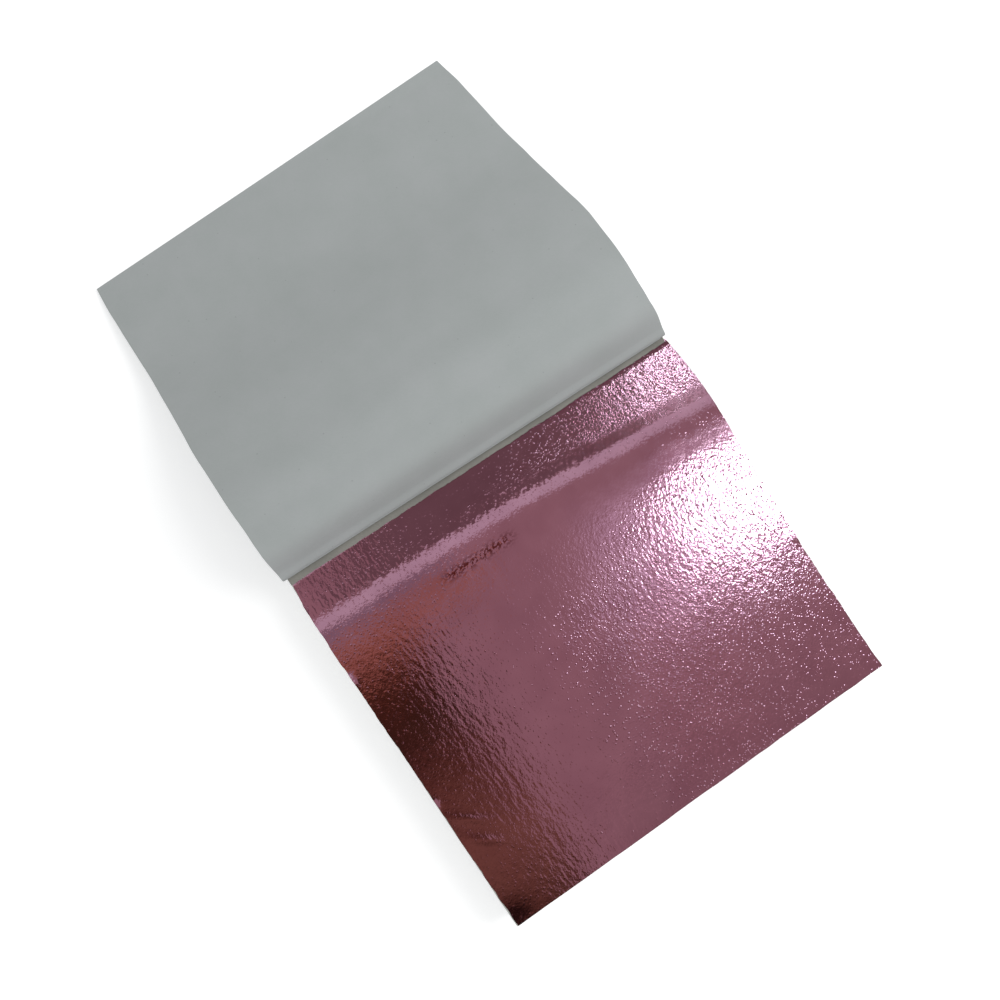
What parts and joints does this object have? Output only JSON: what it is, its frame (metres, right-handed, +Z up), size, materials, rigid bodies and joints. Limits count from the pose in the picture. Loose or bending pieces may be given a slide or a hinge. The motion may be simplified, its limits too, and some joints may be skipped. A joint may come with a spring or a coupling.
{
  "type": "gold leaf booklet",
  "caption": "Booklet of loose metallic leaf between tissues, lying open: its front cover is turned back and the rose foil leaf on top shows.",
  "frame": {"origin": "on the surface that the booklet lies on, under the middle of the fold", "axes": "+X along the fold, +Y from the fold towards the turned front cover, +Z up from the table"},
  "size_m": [0.0864, 0.1506, 0.0169],
  "materials": {
    "leaf_foil": "gloss",
    "tissue": "matte",
    "cover_card": "matte",
    "staple_wire": "satin"
  },
  "bodies": {
    "booklet": {"cover_wrap": "cover_card", "leaf_02": "leaf_foil", "leaf_03": "leaf_foil", "leaf_04": "leaf_foil", "leaf_05": "leaf_foil", "leaf_06": "leaf_foil", "leaf_07": "leaf_foil", "leaf_08": "leaf_foil", "leaf_09": "leaf_foil", "leaf_10": "leaf_foil", "leaf_11": "leaf_foil", "leaf_12": "leaf_foil", "leaf_13": "leaf_foil", "leaf_14": "leaf_foil", "leaf_15": "leaf_foil", "leaf_16": "leaf_foil", "leaf_17": "leaf_foil", "leaf_18": "leaf_foil", "leaf_19": "leaf_foil", "leaf_20": "leaf_foil", "leaf_21": "leaf_foil", "leaf_22": "leaf_foil", "leaf_23": "leaf_foil", "leaf_24": "leaf_foil", "leaf_25": "leaf_foil", "staple_left": "staple_wire", "staple_right": "staple_wire", "tissue_01": "tissue", "tissue_02": "tissue", "tissue_03": "tissue", "tissue_04": "tissue", "tissue_05": "tissue", "tissue_06": "tissue", "tissue_07": "tissue", "tissue_08": "tissue", "tissue_09": "tissue", "tissue_10": "tissue", "tissue_11": "tissue", "tissue_12": "tissue", "tissue_13": "tissue", "tissue_14": "tissue", "tissue_15": "tissue", "tissue_16": "tissue", "tissue_17": "tissue", "tissue_18": "tissue", "tissue_19": "tissue", "tissue_20": "tissue", "tissue_21": "tissue", "tissue_22": "tissue", "tissue_23": "tissue", "tissue_24": "tissue", "tissue_25": "tissue", "torn_tissue_stub": "tissue"},
    "top_leaf": {"leaf_01": "leaf_foil"},
    "cover_root": {"front_cover_root": "cover_card"},
    "cover_crown": {"front_cover_crown": "cover_card"},
    "cover_shoulder": {"front_cover_shoulder": "cover_card"},
    "cover_slope": {"front_cover_slope": "cover_card"},
    "cover_edge": {"front_cover_edge": "cover_card"}
  },
  "joints": [
    {"name": "cover_turn", "type": "hinge", "parent": "booklet", "child": "cover_root", "pos_m": [0, 0, 0.00815], "axis": [1, 0, 0], "range_deg": [0, 122.33]},
    {"name": "crown_crease", "type": "hinge", "parent": "cover_root", "child": "cover_crown", "pos_m": [0, 0.00554, 0.01524], "axis": [1, 0, 0], "range_deg": [0, 48.69]},
    {"name": "shoulder_crease", "type": "hinge", "parent": "cover_crown", "child": "cover_shoulder", "pos_m": [0, 0.01643, 0.01677], "axis": [1, 0, 0], "range_deg": [0, 24.01]},
    {"name": "slope_crease", "type": "hinge", "parent": "cover_shoulder", "child": "cover_slope", "pos_m": [0, 0.02989, 0.01291], "axis": [1, 0, 0], "range_deg": [0, 9.01]},
    {"name": "edge_crease", "type": "hinge", "parent": "cover_slope", "child": "cover_edge", "pos_m": [0, 0.04983, 0.00362], "axis": [1, 0, 0], "range_deg": [-16.28, 0]},
    {"name": "leaf_slide", "type": "slide", "parent": "booklet", "child": "top_leaf", "axis": [1, 0, 0], "range_m": [0, 0.09]}
  ],
  "couplings": [
    {"joint": "crown_crease", "follows": "cover_turn", "ratio": 0.39792},
    {"joint": "shoulder_crease", "follows": "cover_turn", "ratio": 0.1962},
    {"joint": "slope_crease", "follows": "cover_turn", "ratio": 0.073574},
    {"joint": "edge_crease", "follows": "cover_turn", "ratio": -0.13297}
  ]
}
